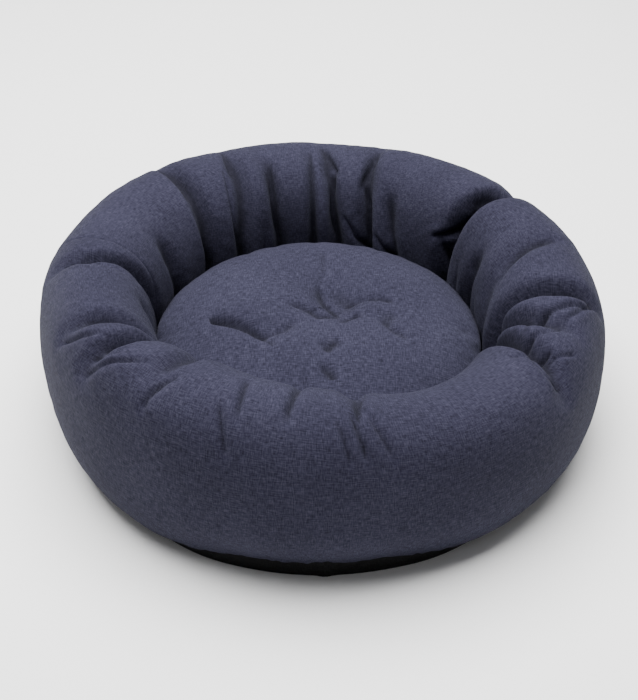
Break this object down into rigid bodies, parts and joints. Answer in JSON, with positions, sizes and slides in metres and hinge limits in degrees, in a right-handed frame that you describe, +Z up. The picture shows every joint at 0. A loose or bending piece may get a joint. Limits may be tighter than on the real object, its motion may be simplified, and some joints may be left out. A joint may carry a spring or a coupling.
{
  "type": "pet cushion bed",
  "caption": "Round pet bed: a stuffed fabric ring on a non-slip base, with a plump lift-out centre cushion.",
  "frame": {"origin": "on the floor under the middle of the bed", "axes": "+Z up, the front of the bed faces -Y, +X to the right"},
  "size_m": [0.71, 0.71, 0.222],
  "materials": {
    "cover_fabric": "heathered slate-navy upholstery weave, matt with a pale nap",
    "base_fabric": "black non-slip base cloth",
    "liner_fabric": "white non-woven liner",
    "fibre_fill": "white polyester fibre",
    "binding_tape": "woven navy binding tape",
    "zip_tape": "woven navy zip tape",
    "zip_coil": "moulded navy nylon coil",
    "zip_metal": "satin nickel-plated zinc",
    "care_label": "blank white satin",
    "tack_thread": "twisted navy thread"
  },
  "bodies": {
    "bed": {"base_panel": "base_fabric", "bolster_cover_front": "cover_fabric", "bolster_cover_back": "cover_fabric", "bolster_liner": "liner_fabric", "bolster_fill": "fibre_fill", "inner_seam_binding": "binding_tape", "base_zip_tape_upper": "zip_tape", "base_zip_tape_lower": "zip_tape", "base_zip_coil_upper": "zip_coil", "base_zip_coil_lower": "zip_coil", "base_zip_top_stop": "zip_metal", "base_zip_bottom_stop": "zip_metal"},
    "base_zip_slider": {"base_zip_slider": "zip_metal"},
    "base_zip_pull": {"base_zip_pull": "zip_metal"},
    "cushion": {"cushion_top_panel": "cover_fabric", "cushion_bottom_panel": "cover_fabric", "cushion_fill": "fibre_fill", "cushion_tack": "tack_thread", "cushion_care_label": "care_label", "cushion_zip_tape_upper": "zip_tape", "cushion_zip_tape_lower": "zip_tape", "cushion_zip_coil_upper": "zip_coil", "cushion_zip_coil_lower": "zip_coil", "cushion_zip_top_stop": "zip_metal", "cushion_zip_bottom_stop": "zip_metal"},
    "cushion_zip_slider": {"cushion_zip_slider": "zip_metal"},
    "cushion_zip_pull": {"cushion_zip_pull": "zip_metal"}
  },
  "joints": [
    {"name": "cushion_lift", "type": "slide", "parent": "bed", "child": "cushion", "axis": [0, 0, 1], "range_m": [0, 0.26]},
    {"name": "cushion_zip", "type": "hinge", "parent": "cushion", "child": "cushion_zip_slider", "pos_m": [0, 0, 0.04], "axis": [0, 0, 1], "range_deg": [-116.4, 0]},
    {"name": "cushion_zip_pull", "type": "hinge", "parent": "cushion_zip_slider", "child": "cushion_zip_pull", "pos_m": [-0.16561, 0.10252, 0.03794], "axis": [-0.5164, 0.3197, 0.7944], "range_deg": [0, 180]},
    {"name": "base_zip", "type": "hinge", "parent": "bed", "child": "base_zip_slider", "pos_m": [0, 0, 0.024], "axis": [0, 0, 1], "range_deg": [-155.4, 0]},
    {"name": "base_zip_pull", "type": "hinge", "parent": "base_zip_slider", "child": "base_zip_pull", "pos_m": [-0.31532, 0.13705, 0.02226], "axis": [-0.4702, 0.2044, 0.8585], "range_deg": [0, 180]}
  ]
}
